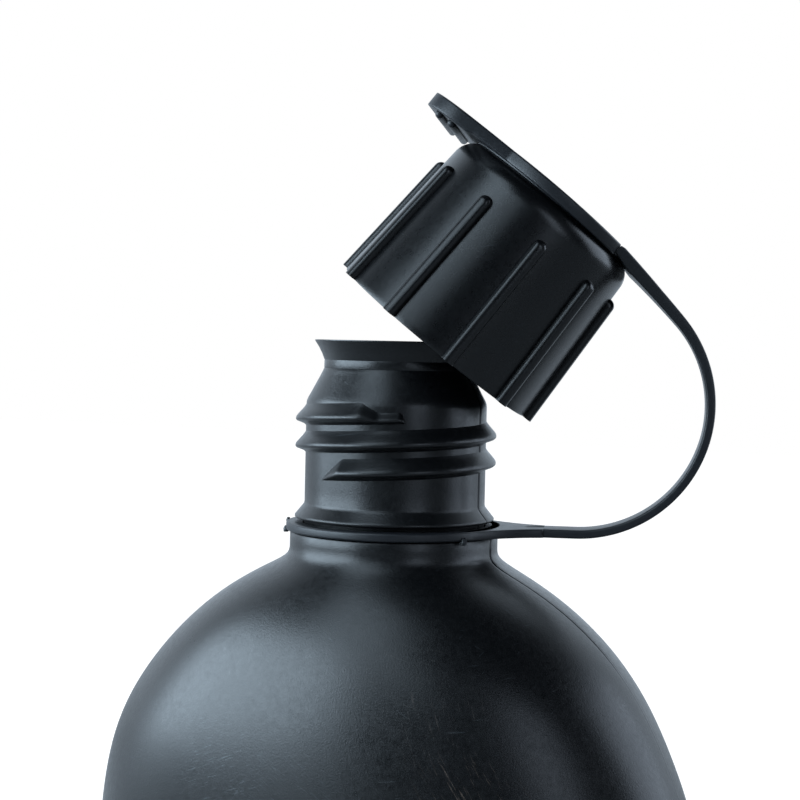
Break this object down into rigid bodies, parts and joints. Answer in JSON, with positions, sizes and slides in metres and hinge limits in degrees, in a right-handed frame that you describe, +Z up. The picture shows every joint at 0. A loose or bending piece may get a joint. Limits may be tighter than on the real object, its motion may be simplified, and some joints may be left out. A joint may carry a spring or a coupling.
{
  "type": "canteen",
  "caption": "One-quart kidney-shaped plastic canteen with a threaded neck and a ribbed screw cap with a drinking port, hanging from a flexible strap.",
  "frame": {"origin": "middle of the flat base, under the neck's axis", "axes": "+Z up through the neck, X along the body's width in the parting plane, -Y towards the convex front"},
  "size_m": [0.1336, 0.0692, 0.2539],
  "materials": {
    "body_plastic": "satin, slightly scuffed",
    "cap_plastic": "satin",
    "strap_plastic": "satin, flexible",
    "seal_rubber": "matte",
    "spring_steel": "drawn wire"
  },
  "bodies": {
    "bottle": {"canteen_body": "body_plastic"},
    "neck_ring": {"strap_neck_ring": "strap_plastic"},
    "link_1": {"strap_link_1": "strap_plastic"},
    "link_2": {"strap_link_2": "strap_plastic"},
    "link_3": {"strap_link_3": "strap_plastic"},
    "link_4": {"strap_link_4": "strap_plastic"},
    "link_5": {"strap_link_5": "strap_plastic"},
    "link_6": {"strap_link_6": "strap_plastic"},
    "cap_ring": {"strap_cap_ring": "strap_plastic"},
    "cover": {"port_cover": "strap_plastic"},
    "cap": {"cap_shell": "cap_plastic", "neck_gasket": "seal_rubber", "port_insert": "cap_plastic", "port_o_ring": "seal_rubber", "valve_spring": "spring_steel", "spring_retainer": "cap_plastic"},
    "valve": {"valve_poppet": "cap_plastic", "poppet_seal": "seal_rubber"}
  },
  "joints": [
    {"name": "ring_turn", "type": "hinge", "parent": "bottle", "child": "neck_ring", "pos_m": [0, 0, 0.1629], "axis": [0, 0, 1], "continuous": true},
    {"name": "strap_flex", "type": "hinge", "parent": "neck_ring", "child": "link_1", "pos_m": [0.03629, 0.0111, 0.16385], "axis": [-0.2924, 0.9563, 0], "range_deg": [0, 20], "stiffness_Nm_per_rad": 0.01},
    {"name": "strap_flex_2", "type": "hinge", "parent": "link_1", "child": "link_2", "pos_m": [0.04792, 0.01465, 0.16673], "axis": [-0.2924, 0.9563, 0], "range_deg": [0, 20], "stiffness_Nm_per_rad": 0.01},
    {"name": "strap_flex_3", "type": "hinge", "parent": "link_2", "child": "link_3", "pos_m": [0.05707, 0.01745, 0.17477], "axis": [-0.2924, 0.9563, 0], "range_deg": [0, 20], "stiffness_Nm_per_rad": 0.01},
    {"name": "strap_flex_4", "type": "hinge", "parent": "link_3", "child": "link_4", "pos_m": [0.0618, 0.01889, 0.18624], "axis": [-0.2924, 0.9563, 0], "range_deg": [0, 20], "stiffness_Nm_per_rad": 0.01},
    {"name": "strap_flex_5", "type": "hinge", "parent": "link_4", "child": "link_5", "pos_m": [0.0611, 0.01868, 0.19872], "axis": [-0.2924, 0.9563, 0], "range_deg": [0, 20], "stiffness_Nm_per_rad": 0.01},
    {"name": "strap_flex_6", "type": "hinge", "parent": "link_5", "child": "link_6", "pos_m": [0.05554, 0.01698, 0.20985], "axis": [-0.2924, 0.9563, 0], "range_deg": [0, 20], "stiffness_Nm_per_rad": 0.01},
    {"name": "strap_flex_7", "type": "hinge", "parent": "link_6", "child": "cap_ring", "pos_m": [0.04772, 0.01459, 0.21942], "axis": [-0.2924, 0.9563, 0], "range_deg": [0, 20], "stiffness_Nm_per_rad": 0.01},
    {"name": "cap_turn", "type": "hinge", "parent": "cap_ring", "child": "cap", "pos_m": [0.00736, 0.00225, 0.2025], "axis": [0.5953, 0.182, 0.7826], "continuous": true},
    {"name": "port_cover_lift", "type": "hinge", "parent": "cap_ring", "child": "cover", "pos_m": [0.04396, 0.01344, 0.2233], "axis": [-0.2924, 0.9563, 0], "range_deg": [0, 95]},
    {"name": "valve_push", "type": "slide", "parent": "cap", "child": "valve", "axis": [-0.5953, -0.182, -0.7826], "range_m": [0, 0.002], "stiffness_N_per_m": 200, "springref_m": -0.003, "deforming": ["valve_spring"]}
  ],
  "couplings": [
    {"joint": "strap_flex_2", "follows": "strap_flex", "ratio": 1},
    {"joint": "strap_flex_3", "follows": "strap_flex", "ratio": 1},
    {"joint": "strap_flex_4", "follows": "strap_flex", "ratio": 1},
    {"joint": "strap_flex_5", "follows": "strap_flex", "ratio": 1},
    {"joint": "strap_flex_6", "follows": "strap_flex", "ratio": 1},
    {"joint": "strap_flex_7", "follows": "strap_flex", "ratio": 1}
  ]
}
